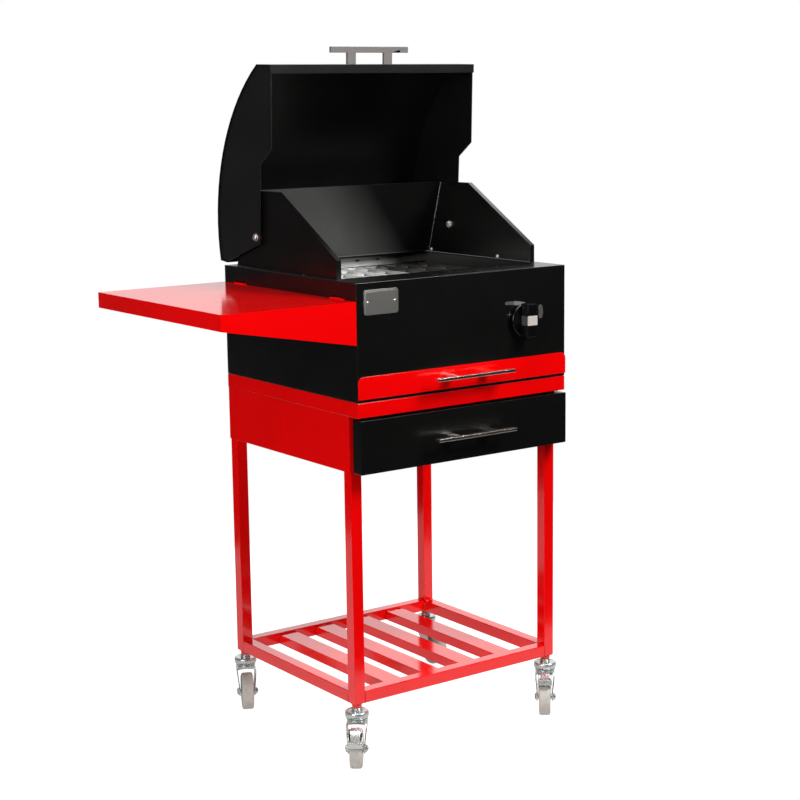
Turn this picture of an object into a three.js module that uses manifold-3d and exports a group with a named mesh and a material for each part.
// Gas barbecue grill on a wheeled tube frame: a black grill body with a hinged half-round lid,
// a drip tray, a drawer, a hook-on side shelf and four swivel casters.
// Millimetres, +Z up, the front faces -Y. The origin is the middle of the footprint, on the floor.

import * as THREE from "three";
import { ConvexGeometry } from "three/addons/geometries/ConvexGeometry.js";
import { mergeVertices } from "three/addons/utils/BufferGeometryUtils.js";
import Module from "manifold-3d";

const wasm = await Module();
wasm.setup();

// ---------------------------------------------------------------- driving dimensions

const SHEET = 1.5; // folded steel sheet
const GAP = 0.3; // clearance between pieces that meet
const TUBE = 24; // square frame tube, outside
const TUBE_WALL = 1.5;

const BODY = { half: 250, front: -234, back: 234, bottom: 705, top: 926, floorLip: 22 };
const BAND = { bottom: 676.5, top: BODY.bottom - GAP };
const LEG = { half: 248, front: -204, back: 232, bottom: 118, top: 702.5 };
const CABINET = { bottom: 570, top: BAND.bottom - GAP };
const FIREBOX = { half: 234, front: -150, back: 204, bottom: 800 };

const BOSS = { across: 20, height: 8, bore: 11 }; // welded nut under each leg
const SLAT = { count: 4, pitch: 92, width: 40, height: 20 };

const WING = { outer: 238, front: -155, kneeY: 45, frontTop: 961, top: 1078, flange: 10 };
const BACK_PANEL = { footY: 203, headY: 158 };

const LID = {
  half: 245.5,
  pivotY: 118,
  pivotZ: 988,
  open: 88, // degrees between the closed lid and the open one
  frontY: -334, // the rest are measured from the pivot, with the lid closed
  rimZ: -61,
  rim: 17, // the flange turned in along the front edge
  wall: 50, // height of the flat front above the rim
  curve: { y: -28.4, z: -233.6, radius: 379.8 },
  backY: 59,
  tailZ: 110,
  notch: { front: -174.5, back: -143.5, low: -18.5, high: -15, heel: 12 }, // in the sides
};
const PIVOT_BOLT = { radius: 4, head: 8, washer: 9 };

const TRAY = { half: 206, back: 200, floor: BODY.bottom + GAP, top: 745 };
const TRAY_FRONT = { half: 249.5, bottom: 711, top: 753, thick: 3, corner: 12 };
const TRAY_MOUTH = { half: 212, top: 749 };

const DRAWER = { half: 210, back: 190, bottom: 580, top: 660 };
const DRAWER_FRONT = { half: 248.5, front: -240, depth: 26, bottom: 571, top: 672 };
const SLIDE = { height: 35, length: 380, middleZ: 620, thick: 6, flange: 5 };

const HANDLE = { length: 187, depth: 12, height: 6, post: 20, standoff: 22, pitch: 88 };

const SHELF = { reach: 282, top: 892.5, lip: 30, gusset: 80.5 };
const HOOK = { middle: 172.5, width: 44, rise: 2.4, inside: 6 };

const KNOB = {
  x: 142,
  z: 827,
  disc: 33,
  face: -245,
  grip: 24,
  gripRadius: 35,
  depth: 19,
  hubRadius: 7,
};
const KNOB_BAND = { height: 18.6, thick: 1.2 };
const VALVE = { front: -222, back: -186, width: 30, height: 26, neck: 8 };
const STEM = { radius: 4, back: -204, front: -252 };

const TENT = { count: 9, pitch: 52, base: 38, height: 18, ridge: 905, front: -142, back: 196 };
const TENT_SLIT = { count: 5, pitch: 62, width: 4.5 };
const RACK_BAR = { width: 10, height: 6 };
const LINER = { clear: 2, sill: 30, rim: 8, seat: 12 };

const BURNER = { radius: 11, z: 842, half: 142, bend: 60, front: -182, back: 150, end: -100 };
const IGNITER = { x: BURNER.half - 40, z: BURNER.z + 16, radius: 4, wire: 1.2 };
const PIPE = { radius: 5, x: 222, z: 768, y: -200, bend: 18 };
const BARB = { root: 3.6, tip: 5, length: 5 };

const CASTER = {
  trail: 30,
  wheel: 38,
  tread: 24,
  axle: 4,
  boltHead: 4.5,
  headRadius: 21.5,
  headBottom: 88,
  headTop: 107,
  cheek: 2,
  shoulder: 20, // half width of the fork under its head
  forkHalf: 16.5, // half width of the fork at the axle
};
const PEDAL = { sheet: 1.2, plate: 1.8, lift: 26 }; // lift is the swing between on and off, in degrees

// heading is the way the wheel trails at rest, in degrees from +X.
// The front casters have a brake: the left one is pressed on, the right one is lifted off.
const CASTERS = [
  { name: "front_left", side: -1, end: -1, heading: -128, brake: "on" },
  { name: "front_right", side: 1, end: -1, heading: -131, brake: "off" },
  { name: "back_left", side: -1, end: 1, heading: -117 },
  { name: "back_right", side: 1, end: 1, heading: -92 },
];

// ---------------------------------------------------------------- finishes

const finish = (color, roughness, metalness) => () =>
  new THREE.MeshStandardMaterial({ color, roughness, metalness });

const redPaint = finish(0xd8000a, 0.22, 0.0);
const blackPaint = finish(0x0b0b0c, 0.35, 0.0);
const brushedSteel = finish(0xb9b2a8, 0.38, 1.0);
const stainless = finish(0xa8a8a6, 0.3, 1.0);
const zincPlate = finish(0xc9ccd0, 0.2, 1.0);
const greyRubber = finish(0xa9a5a2, 0.6, 0.0);
const brass = finish(0xb08d4a, 0.35, 1.0);
const blackPlastic = finish(0x101011, 0.4, 0.0);
const ceramic = finish(0xe8e4da, 0.4, 0.0);

// ---------------------------------------------------------------- solids

const point = (x, y) => new THREE.Vector2(x, y);

function box(x0, x1, y0, y1, z0, z1) {
  const shape = new THREE.BoxGeometry(x1 - x0, y1 - y0, z1 - z0);
  return shape.translate((x0 + x1) / 2, (y0 + y1) / 2, (z0 + z1) / 2);
}

function extrude(outline, depth) {
  const shape = outline instanceof THREE.Shape ? outline : new THREE.Shape(outline);
  return new THREE.ExtrudeGeometry(shape, { depth, bevelEnabled: false, curveSegments: 6 });
}

// An outline of (y, z) points run along X.
function prismX(outline, x0, x1) {
  const turn = new THREE.Matrix4().makeBasis(
    new THREE.Vector3(0, 1, 0),
    new THREE.Vector3(0, 0, 1),
    new THREE.Vector3(1, 0, 0),
  );
  return extrude(outline, x1 - x0).applyMatrix4(turn).translate(x0, 0, 0);
}

// An outline of (x, z) points run along Y.
function prismY(outline, y0, y1) {
  return extrude(outline, y1 - y0).rotateX(Math.PI / 2).translate(0, y1, 0);
}

function rod(radius, from, to, sides = 16) {
  const axis = to.clone().sub(from);
  const turn = new THREE.Quaternion().setFromUnitVectors(
    new THREE.Vector3(0, 1, 0),
    axis.clone().normalize(),
  );
  const middle = from.clone().add(to).multiplyScalar(0.5);
  const shape = new THREE.CylinderGeometry(radius, radius, axis.length(), sides);
  return shape.applyQuaternion(turn).translate(middle.x, middle.y, middle.z);
}

const vec = (x, y, z) => new THREE.Vector3(x, y, z);

const alongX = (radius, y, z, x0, x1, sides = 16) => rod(radius, vec(x0, y, z), vec(x1, y, z), sides);

const alongY = (radius, x, z, y0, y1, sides = 16) => rod(radius, vec(x, y0, z), vec(x, y1, z), sides);

// A round profile of (radius, height) points turned about Z, its ends on the axis or closed.
function turned(profile, sides = 24) {
  const points = profile.map(([radius, height]) => point(radius, height));
  return surface(solid(new THREE.LatheGeometry(points, sides).rotateX(Math.PI / 2)));
}

function solid(geometry) {
  const plain = geometry.clone();
  plain.deleteAttribute("normal");
  plain.deleteAttribute("uv");
  const merged = mergeVertices(plain, 1e-3);
  const corners = merged.index.array;
  const faces = [];
  for (let i = 0; i < corners.length; i += 3) {
    const [a, b, c] = [corners[i], corners[i + 1], corners[i + 2]];
    if (a !== b && b !== c && c !== a) faces.push(a, b, c);
  }
  const made = (list) =>
    new wasm.Manifold(
      new wasm.Mesh({
        numProp: 3,
        vertProperties: new Float32Array(merged.attributes.position.array),
        triVerts: new Uint32Array(list),
      }),
    );
  const first = made(faces);
  return first.volume() > 0 ? first : made(faces.slice().reverse());
}

function surface(body) {
  const mesh = body.getMesh();
  const geometry = new THREE.BufferGeometry();
  const position = new THREE.BufferAttribute(new Float32Array(mesh.vertProperties), 3);
  geometry.setAttribute("position", position);
  geometry.setIndex(new THREE.BufferAttribute(new Uint32Array(mesh.triVerts), 1));
  return geometry;
}

const join = (...pieces) => surface(pieces.map(solid).reduce((all, next) => all.add(next)));

const cut = (base, ...tools) =>
  surface(tools.map(solid).reduce((left, tool) => left.subtract(tool), solid(base)));

const common = (a, b) => surface(solid(a).intersect(solid(b)));

// A folded sheet: an open path of points given a thickness on its left side.
function folded(path, thickness) {
  const inner = path.map((here, i) => {
    const before = path[Math.max(i - 1, 0)];
    const after = path[Math.min(i + 1, path.length - 1)];
    const first = (i > 0 ? here.clone().sub(before) : after.clone().sub(here)).normalize();
    const second = (i < path.length - 1 ? after.clone().sub(here) : first.clone()).normalize();
    const side = point(-first.y - second.y, first.x + second.x).normalize();
    const miter = thickness / (side.x * -first.y + side.y * first.x);
    return here.clone().addScaledVector(side, miter);
  });
  return [...path, ...inner.reverse()];
}

function arcPoints(centreX, centreY, radius, from, to, steps) {
  const spread = Array.from({ length: steps + 1 }, (_, i) => from + ((to - from) * i) / steps);
  return spread.map((a) => point(centreX + radius * Math.cos(a), centreY + radius * Math.sin(a)));
}

// A box open on one side: its outer size and wall, with the opening at "top" or "bottom".
function pan(x0, x1, y0, y1, z0, z1, wall, opening) {
  const outer = box(x0, x1, y0, y1, z0, z1);
  const low = opening === "bottom" ? z0 - 1 : z0 + wall;
  const high = opening === "top" ? z1 + 1 : z1 - wall;
  return cut(outer, box(x0 + wall, x1 - wall, y0 + wall, y1 - wall, low, high));
}

function tubeAlong(path, radius, sides, steps) {
  const ring = arcPoints(0, 0, radius, 0, (2 * Math.PI * (sides - 1)) / sides, sides - 1);
  return new THREE.ExtrudeGeometry(new THREE.Shape(ring), {
    steps,
    extrudePath: path,
    bevelEnabled: false,
  });
}

// A path of straight runs with rounded corners.
function roundedPath(corners, bend) {
  const path = new THREE.CurvePath();
  let start = corners[0];
  for (let i = 1; i < corners.length - 1; i += 1) {
    const here = corners[i];
    const arrive = here.clone().add(corners[i - 1].clone().sub(here).setLength(bend));
    const leave = here.clone().add(corners[i + 1].clone().sub(here).setLength(bend));
    path.add(new THREE.LineCurve3(start, arrive));
    path.add(new THREE.QuadraticBezierCurve3(arrive, here, leave));
    start = leave;
  }
  path.add(new THREE.LineCurve3(start, corners[corners.length - 1]));
  return path;
}

// ---------------------------------------------------------------- assembly

const grill = new THREE.Group();

function place(name, geometry, material, parent = grill) {
  const mesh = new THREE.Mesh(geometry, material());
  mesh.name = name;
  parent.add(mesh);
  return mesh;
}

const SIDES = [
  ["left", -1],
  ["right", 1],
];
const mirrored = (side, geometry) =>
  side > 0 ? geometry : surface(solid(geometry).mirror([1, 0, 0]));

// ---------------------------------------------------------------- tube frame

function makeLeg(side, end) {
  const x = side * (LEG.half - TUBE / 2);
  const y = end < 0 ? LEG.front + TUBE / 2 : LEG.back - TUBE / 2;
  const half = TUBE / 2;
  const bore = half - TUBE_WALL;
  const tube = box(-half, half, -half, half, LEG.bottom, LEG.top);
  const hollow = box(-bore, bore, -bore, bore, LEG.bottom + 3, LEG.top + 1);
  const foot = LEG.bottom - BOSS.height;
  const boss = rod(BOSS.across / 2, vec(0, 0, foot), vec(0, 0, LEG.bottom + 1), 8);
  const thread = rod(BOSS.bore / 2, vec(0, 0, foot - 10), vec(0, 0, LEG.bottom + 10), 12);
  return cut(join(cut(tube, hollow), boss), thread).translate(x, y, 0);
}

for (const caster of CASTERS) {
  place(`leg_${caster.name}`, makeLeg(caster.side, caster.end), redPaint);
}

function makeRail(x0, x1, y0, y1, height) {
  const outer = box(x0, x1, y0, y1, LEG.bottom, LEG.bottom + height);
  const low = LEG.bottom + TUBE_WALL;
  const high = LEG.bottom + height - TUBE_WALL;
  const crosswise = x1 - x0 > y1 - y0;
  const bore = crosswise
    ? box(x0 - 1, x1 + 1, y0 + TUBE_WALL, y1 - TUBE_WALL, low, high)
    : box(x0 + TUBE_WALL, x1 - TUBE_WALL, y0 - 1, y1 + 1, low, high);
  return cut(outer, bore);
}

const innerX = LEG.half - TUBE;
const innerFront = LEG.front + TUBE;
const innerBack = LEG.back - TUBE;
place("rail_front", makeRail(-innerX, innerX, LEG.front, innerFront, TUBE), redPaint);
place("rail_back", makeRail(-innerX, innerX, innerBack, LEG.back, TUBE), redPaint);
place("rail_left", makeRail(-LEG.half, -innerX, innerFront, innerBack, TUBE), redPaint);
place("rail_right", makeRail(innerX, LEG.half, innerFront, innerBack, TUBE), redPaint);

for (let i = 0; i < SLAT.count; i += 1) {
  const x = (i - (SLAT.count - 1) / 2) * SLAT.pitch;
  const slat = makeRail(x - SLAT.width / 2, x + SLAT.width / 2, innerFront, innerBack, SLAT.height);
  place(`slat_${i + 1}`, slat, redPaint);
}

// ---------------------------------------------------------------- cabinet

const platform = pan(
  -BODY.half,
  BODY.half,
  BODY.front,
  BODY.back,
  BAND.bottom,
  BAND.top,
  SHEET,
  "bottom",
);
place("platform", platform, redPaint);

for (const [word, side] of SIDES) {
  const outer = LEG.half + GAP + SHEET;
  const panel = box(LEG.half + GAP, outer, LEG.front, LEG.back, CABINET.bottom, CABINET.top);
  const sill = box(
    innerX,
    outer,
    innerFront + GAP,
    innerBack - GAP,
    CABINET.bottom,
    CABINET.bottom + SHEET,
  );
  place(`cabinet_side_${word}`, mirrored(side, join(panel, sill)), redPaint);
}

const cabinetBack = box(
  -LEG.half,
  LEG.half,
  LEG.back + GAP,
  LEG.back + GAP + SHEET,
  CABINET.bottom,
  CABINET.top,
);
place("cabinet_back", cabinetBack, redPaint);

// ---------------------------------------------------------------- drawer

// A C-section runner screwed inside the legs, and the flat member that slides in it.
function makeSlide(side, moving) {
  const outer = innerX - GAP;
  const inner = outer - SLIDE.thick;
  const web = outer - SHEET;
  const front = LEG.front + 2;
  const back = front + SLIDE.length;
  const z = SLIDE.middleZ;
  const half = SLIDE.height / 2;
  const channel = half - SLIDE.flange;
  const fixedShape = cut(
    box(inner, outer, front, back, z - half, z + half),
    box(inner - 1, web, front - 1, back + 1, z - channel, z + channel),
  );
  const slim = channel - 0.5;
  const movingShape = box(DRAWER.half + GAP, web - 0.5, front, back - 10, z - slim, z + slim);
  return mirrored(side, moving ? movingShape : fixedShape);
}

for (const [word, side] of SIDES) {
  place(`drawer_slide_fixed_${word}`, makeSlide(side, false), zincPlate);
  place(`drawer_slide_moving_${word}`, makeSlide(side, true), zincPlate);
}

const drawerFace = DRAWER_FRONT.front + DRAWER_FRONT.depth;
const drawerBox = pan(
  -DRAWER.half,
  DRAWER.half,
  drawerFace + GAP,
  DRAWER.back,
  DRAWER.bottom,
  DRAWER.top,
  SHEET,
  "top",
);
place("drawer_box", drawerBox, blackPaint);

const drawerFront = cut(
  box(
    -DRAWER_FRONT.half,
    DRAWER_FRONT.half,
    DRAWER_FRONT.front,
    drawerFace,
    DRAWER_FRONT.bottom,
    DRAWER_FRONT.top,
  ),
  box(
    -DRAWER_FRONT.half + SHEET,
    DRAWER_FRONT.half - SHEET,
    DRAWER_FRONT.front + SHEET,
    drawerFace + 1,
    DRAWER_FRONT.bottom + SHEET,
    DRAWER_FRONT.top - SHEET,
  ),
);
place("drawer_front", drawerFront, blackPaint);

// ---------------------------------------------------------------- grill body

const shelfSlot = { low: SHELF.top - 5.5, high: SHELF.top + 5 };

function makeBody() {
  const { half, front, back, bottom, top } = BODY;
  const shell = cut(
    box(-half, half, front, back, bottom, top),
    box(-half + SHEET, half - SHEET, front + SHEET, back - SHEET, bottom + SHEET, top - SHEET),
  );
  const lip = BODY.floorLip;
  const openX = half - lip;
  const floorHole = box(-openX, openX, front + lip, back - lip, bottom - 1, bottom + 5);
  const firebox = box(
    -FIREBOX.half,
    FIREBOX.half,
    FIREBOX.front,
    FIREBOX.back,
    top - 5,
    top + 5,
  );
  const mouth = box(
    -TRAY_MOUTH.half,
    TRAY_MOUTH.half,
    front - 5,
    front + lip + 1,
    bottom - 1,
    TRAY_MOUTH.top,
  );
  const stemHole = alongY(KNOB.hubRadius + 1.5, KNOB.x, KNOB.z, front - 5, front + 5);
  const pipeHole = alongY(PIPE.radius + 3, PIPE.x, PIPE.z, back - 5, back + 5);
  const slots = [-HOOK.middle, HOOK.middle].map((y) =>
    box(
      -half - 5,
      -half + 5,
      y - HOOK.width / 2 - 2,
      y + HOOK.width / 2 + 2,
      shelfSlot.low,
      shelfSlot.high,
    ),
  );
  return cut(shell, floorHole, firebox, mouth, stemHole, pipeHole, ...slots);
}
place("grill_body", makeBody(), blackPaint);

// Stainless firebox: four walls hung under the opening, a rim below the body's top,
// and a narrow sill all round its foot that the heat rack and the grease run down to.
function makeLiner() {
  const { clear, sill, rim, seat } = LINER;
  const x = FIREBOX.half - clear;
  const front = FIREBOX.front + clear;
  const back = FIREBOX.back - clear;
  const foot = FIREBOX.bottom;
  const top = BODY.top - SHEET - GAP;
  const walls = cut(
    box(-x, x, front, back, foot, top),
    box(-x + SHEET, x - SHEET, front + SHEET, back - SHEET, foot + SHEET, top + 1),
    box(-x + sill, x - sill, front + sill, back - sill, foot - 1, foot + 5),
  );
  const flange = cut(
    box(-x - rim, x + rim, front - rim, back + rim, top - SHEET, top),
    box(-x + SHEET, x - SHEET, front + SHEET, back - SHEET, top - 5, top + 5),
  );
  const seatZ = TENT.ridge - TENT.height - GAP - RACK_BAR.height;
  const seats = [front + SHEET / 2, back - SHEET / 2 - seat].map((y) =>
    box(-x + SHEET / 2, x - SHEET / 2, y, y + seat, seatZ - SHEET, seatZ),
  );
  const venturi = alongY(BURNER.radius + 2, BURNER.half, BURNER.z, front - 5, front + 5);
  const igniter = alongY(IGNITER.radius + 1, IGNITER.x, IGNITER.z, front - 5, front + 5, 12);
  return cut(join(walls, flange, ...seats), venturi, igniter);
}
place("firebox_liner", makeLiner(), stainless);

// ---------------------------------------------------------------- heat rack

// Nine roof-shaped stainless strips, slit across, welded on two flat cross bars.
function makeHeatRack() {
  const base = TENT.ridge - TENT.height;
  const roof = folded(
    [point(TENT.base / 2, base), point(0, TENT.ridge), point(-TENT.base / 2, base)],
    SHEET,
  );
  const middle = (TENT.front + TENT.back) / 2;
  const slits = [];
  for (let i = 0; i < TENT_SLIT.count; i += 1) {
    const y = middle + (i - (TENT_SLIT.count - 1) / 2) * TENT_SLIT.pitch;
    const edge = y - TENT_SLIT.width / 2;
    slits.push(
      box(-TENT.base, TENT.base, edge, edge + TENT_SLIT.width, base + 4, TENT.ridge - 4),
    );
  }
  const tent = cut(prismY(roof, TENT.front, TENT.back), ...slits);
  const tents = [];
  for (let i = 0; i < TENT.count; i += 1) {
    tents.push(tent.clone().translate((i - (TENT.count - 1) / 2) * TENT.pitch, 0, 0));
  }
  const reach = ((TENT.count - 1) / 2) * TENT.pitch + TENT.base / 2;
  const { width, height } = RACK_BAR;
  const bars = [TENT.front + 2, TENT.back - 2 - width].map((y) =>
    box(-reach, reach, y, y + width, base - height, base + 1),
  );
  return join(...tents, ...bars);
}
place("heat_rack", makeHeatRack(), stainless);

// ---------------------------------------------------------------- wings and back panel

const wingFoot = BODY.top + GAP;
const backSlope = (z) =>
  BACK_PANEL.footY +
  ((BACK_PANEL.headY - BACK_PANEL.footY) * (z - wingFoot)) / (WING.top - wingFoot);

const pivotHole = (x0, x1) => alongX(PIVOT_BOLT.radius + 0.4, LID.pivotY, LID.pivotZ, x0, x1);

function makeWing(side) {
  const outline = [
    point(WING.front, wingFoot),
    point(BACK_PANEL.footY, wingFoot),
    point(BACK_PANEL.headY, WING.top),
    point(WING.kneeY, WING.top),
    point(WING.front, WING.frontTop),
  ];
  const plate = prismX(outline, WING.outer - SHEET, WING.outer);
  const edge = folded(
    [
      point(BACK_PANEL.headY - 20, WING.top),
      point(WING.kneeY, WING.top),
      point(WING.front, WING.frontTop),
      point(WING.front, wingFoot),
    ],
    SHEET,
  );
  const flange = prismX(edge, WING.outer - WING.flange, WING.outer - SHEET / 2);
  return mirrored(side, cut(join(plate, flange), pivotHole(WING.outer - 10, WING.outer + 5)));
}

for (const [word, side] of SIDES) {
  place(`wing_${word}`, makeWing(side), blackPaint);
}

// The back panel leans forward between the wings, with a lip at its foot and a hem at its head.
function makeBackPanel() {
  const low = wingFoot + 2;
  const high = WING.top - SHEET - GAP - 0.5;
  const path = [
    point(backSlope(low) - 20, low),
    point(backSlope(low) - 8, low),
    point(backSlope(high) - 8, high),
    point(backSlope(high) + 1, high),
  ];
  return prismX(folded(path, SHEET), -WING.outer + SHEET + GAP, WING.outer - SHEET - GAP);
}
place("back_panel", makeBackPanel(), blackPaint);

// ---------------------------------------------------------------- burner, valve and gas line

function makeBurner() {
  const { half, front, back, end, bend, z } = BURNER;
  const corners = [vec(half, front, z), vec(half, back, z), vec(-half, back, z), vec(-half, end, z)];
  return tubeAlong(roundedPath(corners, bend), BURNER.radius, 8, 30);
}
place("burner", makeBurner(), stainless);

function makeValve() {
  const { front, back, width, height, neck } = VALVE;
  const { x, z } = KNOB;
  const foot = z - 6;
  const block = box(x - width / 2, x + width / 2, front, back, foot, foot + height);
  const collar = alongY(neck, x, z, front - 8, front + 1);
  const bore = alongY(STEM.radius + 0.5, x, z, front - 12, STEM.back + 6);
  return cut(join(block, collar), bore);
}
place("gas_valve", makeValve(), brass);

place("valve_stem", alongY(STEM.radius, KNOB.x, KNOB.z, STEM.front, STEM.back, 14), brass);

function makePipe() {
  const { x, y, z, bend, radius } = PIPE;
  const corners = [
    vec(KNOB.x + VALVE.width / 2 + GAP, y, KNOB.z),
    vec(x, y, KNOB.z),
    vec(x, y, z),
    vec(x, BODY.back + 6, z),
  ];
  const line = tubeAlong(roundedPath(corners, bend), radius, 8, 30);
  const nutOut = BODY.back + 9;
  const nut = alongY(8, x, z, BODY.back + 1, nutOut, 6);
  const barbs = [0.5, 1.5, 2.5].map((step) =>
    new THREE.CylinderGeometry(BARB.root, BARB.tip, BARB.length, 10).translate(
      x,
      nutOut - 0.1 + step * BARB.length,
      z,
    ),
  );
  return join(line, nut, ...barbs);
}
place("gas_inlet_pipe", makePipe(), brass);

function makeIgniter() {
  const { x, z, radius, wire } = IGNITER;
  const tip = FIREBOX.front + 28;
  const insulator = alongY(radius, x, z, FIREBOX.front - 20, tip, 12);
  return join(insulator, alongY(wire, x, z, tip - 2, tip + 12, 8));
}
place("igniter_electrode", makeIgniter(), ceramic);

// ---------------------------------------------------------------- knob

function makeKnob() {
  const { disc, face, grip, gripRadius, depth, hubRadius } = KNOB;
  const skirt = turned(
    [
      [0, 0],
      [disc - 3, 0],
      [disc, 2],
      [disc, 4.5],
      [disc - 2, 6],
      [0, 6],
    ],
    32,
  );
  const hub = rod(hubRadius, vec(0, 0, -1.5), vec(0, 0, 1));
  const column = rod(gripRadius, vec(0, 0, 5), vec(0, 0, 6 + depth), 36);
  const bar = common(column, box(-grip / 2, grip / 2, -gripRadius, gripRadius, 5, 6 + depth));
  const reach = KNOB_BAND.height / 2 + GAP;
  const band = cut(
    box(-grip, grip, -reach, reach, 6 - 0.1, 20 + depth),
    box(
      -grip / 2 + KNOB_BAND.thick + GAP,
      grip / 2 - KNOB_BAND.thick - GAP,
      -reach - 1,
      reach + 1,
      0,
      6 + depth - KNOB_BAND.thick - GAP,
    ),
  );
  const bore = rod(STEM.radius + GAP, vec(0, 0, -6), vec(0, 0, 14), 16);
  const knob = cut(join(skirt, hub, bar), band, bore);
  return knob.rotateX(Math.PI / 2).translate(KNOB.x, face + 6, KNOB.z);
}
place("knob", makeKnob(), blackPlastic);

function makeKnobBand() {
  const { grip, depth, face } = KNOB;
  const half = KNOB_BAND.height / 2;
  const outer = box(-grip / 2, grip / 2, -half, half, 6 + GAP, 6 + depth);
  const inner = box(
    -grip / 2 + KNOB_BAND.thick,
    grip / 2 - KNOB_BAND.thick,
    -half - 1,
    half + 1,
    0,
    6 + depth - KNOB_BAND.thick,
  );
  return cut(outer, inner).rotateX(Math.PI / 2).translate(KNOB.x, face + 6, KNOB.z);
}
place("knob_band", makeKnobBand(), brushedSteel);

// ---------------------------------------------------------------- handles

// A flat bar on two flat posts. It stands out along -Y from y = 0, centred on x = z = 0.
function makeHandle() {
  const { length, depth, height, post, standoff, pitch } = HANDLE;
  const bar = box(-length / 2, length / 2, -standoff - depth, -standoff, -height / 2, height / 2);
  const posts = [-pitch / 2, pitch / 2].map((x) =>
    box(x - post / 2, x + post / 2, -standoff - 1, 0, -height / 2, height / 2),
  );
  return join(bar, ...posts);
}

const drawerHandle = place("drawer_handle", makeHandle(), brushedSteel);
drawerHandle.position.set(0, DRAWER_FRONT.front - GAP, (DRAWER_FRONT.bottom + DRAWER_FRONT.top) / 2);

// ---------------------------------------------------------------- drip tray

const dripTray = pan(
  -TRAY.half,
  TRAY.half,
  BODY.front,
  TRAY.back,
  TRAY.floor,
  TRAY.top,
  SHEET,
  "top",
);
place("drip_tray", dripTray, stainless);

function makeTrayFront() {
  const { half, bottom, top, thick, corner } = TRAY_FRONT;
  const outline = [
    point(-half, bottom),
    point(half, bottom),
    ...arcPoints(half - corner, top - corner, corner, 0, Math.PI / 2, 6),
    ...arcPoints(-half + corner, top - corner, corner, Math.PI / 2, Math.PI, 6),
  ];
  const back = BODY.front - GAP;
  return prismY(outline, back - thick, back);
}
place("tray_front", makeTrayFront(), redPaint);

const trayHandle = place("tray_handle", makeHandle(), brushedSteel);
trayHandle.position.set(0, BODY.front - GAP - TRAY_FRONT.thick - GAP, TRAY_FRONT.top - 17);

// ---------------------------------------------------------------- side shelf

// An open-bottomed tray with gussets that deepen towards the body. Two tabs bend up at
// its inner edge and reach through the slots in the body's wall.
function makeShelf() {
  const inner = -BODY.half - GAP;
  const outer = inner - SHELF.reach;
  const { top, lip, gusset } = SHELF;
  const outline = [
    point(outer, top - lip),
    point(inner, top - gusset),
    point(inner, top),
    point(outer, top),
  ];
  const block = prismY(outline, BODY.front, BODY.back);
  const hollow = box(
    outer + SHEET,
    inner + 1,
    BODY.front + SHEET,
    BODY.back - SHEET,
    top - gusset - 1,
    top - SHEET,
  );
  const hem = 14;
  const wallFlanges = [BODY.front + SHEET / 2, BODY.back - SHEET / 2 - hem].map((y) =>
    box(inner - SHEET, inner, y, y + hem, top - gusset + 4, top - SHEET / 2),
  );
  const hooks = [-HOOK.middle, HOOK.middle].flatMap((y) => [
    box(inner - SHEET, inner, y - HOOK.width / 2, y + HOOK.width / 2, top - 1, top + HOOK.rise),
    box(
      inner - SHEET,
      inner + HOOK.inside,
      y - HOOK.width / 2,
      y + HOOK.width / 2,
      top + HOOK.rise - SHEET,
      top + HOOK.rise,
    ),
  ]);
  return join(cut(block, hollow), ...wallFlanges, ...hooks);
}
place("side_shelf", makeShelf(), redPaint);

// ---------------------------------------------------------------- lid

// The lid is drawn closed, about its pivot, and then swung open.
const lid = new THREE.Group();
lid.position.set(0, LID.pivotY, LID.pivotZ);
lid.rotation.x = -THREE.MathUtils.degToRad(LID.open);
grill.add(lid);

const angleAt = (y) => Math.acos((y - LID.curve.y) / LID.curve.radius);
const lidHead = angleAt(LID.frontY);
const lidTail = angleAt(LID.backY);

function makeLidShell() {
  const arc = arcPoints(LID.curve.y, LID.curve.z, LID.curve.radius, lidTail, lidHead, 18);
  const path = [
    point(LID.backY + 2, LID.tailZ),
    ...arc,
    point(LID.frontY, LID.rimZ),
    point(LID.frontY + LID.rim, LID.rimZ),
  ];
  return prismX(folded(path, SHEET), -LID.half, LID.half);
}
place("lid_shell", makeLidShell(), blackPaint, lid);

function makeLidSide(side) {
  const { curve, frontY, backY, rimZ, tailZ, notch } = LID;
  const inset = SHEET + GAP;
  const turn = inset / curve.radius; // trims the arc's ends back from the shell
  const inner = arcPoints(
    curve.y,
    curve.z,
    curve.radius - inset,
    lidTail + turn,
    lidHead - turn,
    18,
  );
  const outline = [
    point(frontY + inset, rimZ + inset),
    point(notch.front, rimZ + inset),
    point(notch.back, notch.low),
    point(notch.heel, notch.high),
    point(backY - GAP, tailZ),
    ...inner,
  ];
  const plate = prismX(outline, LID.half - 2 * SHEET, LID.half - SHEET);
  const hole = alongX(PIVOT_BOLT.radius + 0.4, 0, 0, LID.half - 10, LID.half + 5);
  return mirrored(side, cut(plate, hole));
}
for (const [word, side] of SIDES) {
  place(`lid_side_${word}`, makeLidSide(side), blackPaint, lid);
}

const lidHandle = place("lid_handle", makeHandle(), brushedSteel, lid);
lidHandle.position.set(0, LID.frontY - GAP, LID.rimZ + LID.wall / 2);

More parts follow.
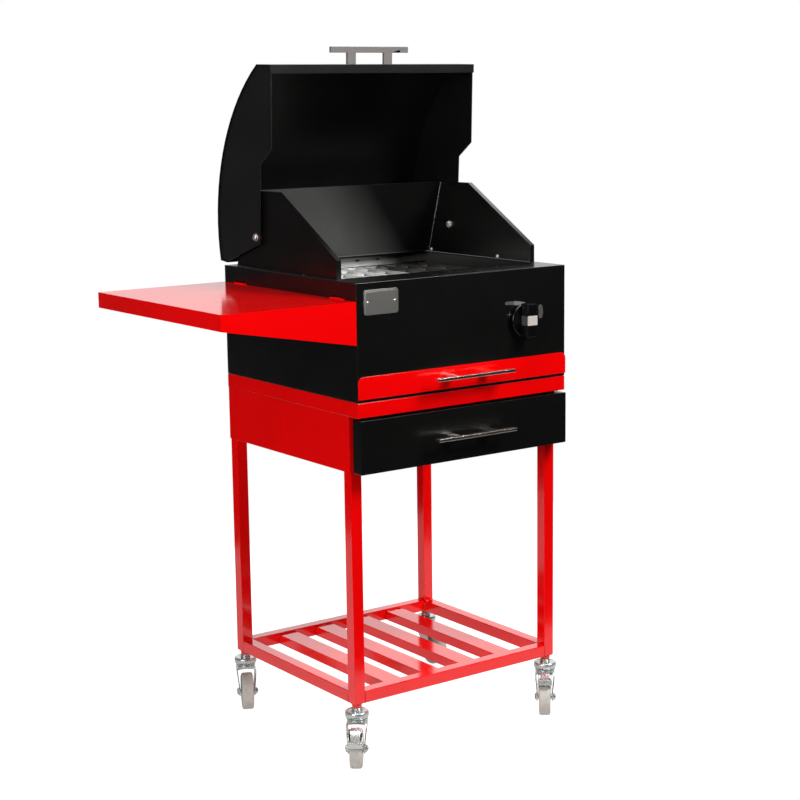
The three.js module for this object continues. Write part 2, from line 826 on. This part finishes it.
// Pivot bolt: its shank passes the wing and the lid's side, with a nut inside, a spacer
// between the two sheets and a domed head outside.
function makePivotBolt(side) {
  const nutIn = WING.outer - SHEET - GAP - 7;
  const nutOut = WING.outer - SHEET - GAP;
  const spacerIn = WING.outer + GAP;
  const spacerOut = LID.half - 2 * SHEET - GAP;
  const headIn = LID.half - SHEET + GAP;
  const { radius, head, washer } = PIVOT_BOLT;
  const profile = [
    [0, nutIn],
    [washer - 2, nutIn],
    [washer - 2, nutOut],
    [radius, nutOut],
    [radius, spacerIn],
    [washer, spacerIn],
    [washer, spacerOut],
    [radius, spacerOut],
    [radius, headIn],
    [head, headIn],
    [head - 1.5, headIn + 3],
    [head - 4.5, headIn + 4.6],
    [0, headIn + 5],
  ];
  const bolt = turned(profile, 12).rotateY(Math.PI / 2);
  return mirrored(side, bolt).translate(0, LID.pivotY, LID.pivotZ);
}
for (const [word, side] of SIDES) {
  place(`lid_pivot_${word}`, makePivotBolt(side), zincPlate);
}

// ---------------------------------------------------------------- casters

// Everything on a caster is drawn about its swivel axis, with the wheel trailing along +X.

function makeStem() {
  const nutLow = CASTER.headTop + GAP;
  const nutHigh = LEG.bottom - BOSS.height - GAP;
  const nut = rod(9.5, vec(0, 0, nutLow), vec(0, 0, nutHigh), 6);
  const shank = rod(BOSS.bore / 2 - 0.5, vec(0, 0, nutHigh - 1), vec(0, 0, LEG.bottom + 8), 12);
  return join(nut, shank);
}

// The outside of the fork and its inside differ only in these two half widths.
function forkBlock(shoulder, half, spread) {
  const { trail, wheel, headBottom } = CASTER;
  const eye = 10.5;
  const corners = [];
  for (const y of [-1, 1]) {
    corners.push(vec(24 + spread, y * shoulder, headBottom));
    corners.push(vec(-18 - spread, y * shoulder, headBottom));
    corners.push(vec(-18 - spread, y * shoulder, headBottom - 12));
    for (const angle of [-150, -120, -90, -60, -30, 0, 30]) {
      const a = THREE.MathUtils.degToRad(angle);
      const reach = angle < -90 ? -spread : spread;
      corners.push(vec(trail + eye * Math.cos(a) + reach, y * half, wheel + eye * Math.sin(a)));
    }
  }
  return new ConvexGeometry(corners);
}

function makeFork() {
  const { trail, wheel, axle, boltHead, headRadius, headBottom, headTop } = CASTER;
  const { cheek, shoulder, forkHalf } = CASTER;
  const head = turned(
    [
      [0, headBottom - 1],
      [headRadius - 2, headBottom - 1],
      [headRadius, headBottom + 2],
      [headRadius, headBottom + 7],
      [headRadius - 4, headBottom + 13],
      [headRadius - 9, headTop - 1],
      [headRadius - 11, headTop],
      [0, headTop],
    ],
    20,
  );
  const inside = forkBlock(shoulder - cheek, forkHalf - cheek, 30).translate(0, 0, -cheek);
  const fork = cut(forkBlock(shoulder, forkHalf, 0), inside);
  const bolt = alongY(axle, trail, wheel, -forkHalf - 1, forkHalf + 1, 12);
  const nuts = [-forkHalf - boltHead, forkHalf - 1].map((y) =>
    alongY(6.5, trail, wheel, y, y + boltHead + 1, 6),
  );
  return join(head, fork, bolt, ...nuts);
}

function makeWheel() {
  const { trail, wheel, tread, axle } = CASTER;
  const half = tread / 2;
  const bore = axle + 0.5;
  const side = [
    [bore, half],
    [8.5, half],
    [10, half - 3],
    [wheel - 14, half - 4],
    [wheel - 9, half - 1],
    [wheel - 4, half - 0.5],
    [wheel, half - 3.5],
  ];
  const far = side.map(([radius, across]) => [radius, -across]).reverse();
  const profile = [...side, ...far, side[0]];
  return turned(profile, 24).rotateX(Math.PI / 2).translate(trail, 0, wheel);
}

// A pressed-steel pedal on the axle: two ears beside the wheel and a tread plate over it.
// It is drawn about the axle, pressed down, and swings up by the given angle.
function makePedal(swing) {
  const { trail, wheel, axle, tread } = CASTER;
  const { sheet, plate } = PEDAL;
  const ear = new THREE.Shape();
  ear.absarc(0, 0, 7.5, Math.PI * 0.75, Math.PI * 1.9, false);
  ear.lineTo(43, 22.5);
  ear.lineTo(8, 43.5);
  ear.closePath();
  const inner = tread / 2 + 0.5;
  const outer = inner + sheet;
  const ears = [-outer, inner].map((y) => prismY(ear, y, y + sheet));
  const path = [point(46, 18), point(47, 25), point(14, 42), point(5, 42.5)];
  const top = prismY(folded(path, plate), -outer, outer);
  const hole = alongY(axle + 0.4, 0, 0, -20, 20, 12);
  const pedal = cut(join(top, ...ears), hole);
  return pedal.rotateY(-THREE.MathUtils.degToRad(swing)).translate(trail, 0, wheel);
}

for (const caster of CASTERS) {
  const swivel = new THREE.Group();
  const y = caster.end < 0 ? LEG.front + TUBE / 2 : LEG.back - TUBE / 2;
  swivel.position.set(caster.side * (LEG.half - TUBE / 2), y, 0);
  swivel.rotation.z = THREE.MathUtils.degToRad(caster.heading);
  grill.add(swivel);
  place(`caster_stem_${caster.name}`, makeStem(), zincPlate, swivel);
  place(`caster_fork_${caster.name}`, makeFork(), zincPlate, swivel);
  place(`caster_wheel_${caster.name}`, makeWheel(), greyRubber, swivel);
  if (caster.brake) {
    const swing = caster.brake === "off" ? PEDAL.lift : 0;
    place(`brake_pedal_${caster.name}`, makePedal(swing), zincPlate, swivel);
  }
}

// ---------------------------------------------------------------- origin

// The footprint's middle goes to the origin; the wheels already stand on z = 0.
grill.updateMatrixWorld(true);
const extent = new THREE.Box3().setFromObject(grill, true);
const footprint = extent.getCenter(new THREE.Vector3());
grill.position.set(-footprint.x, -footprint.y, 0);

export default grill;
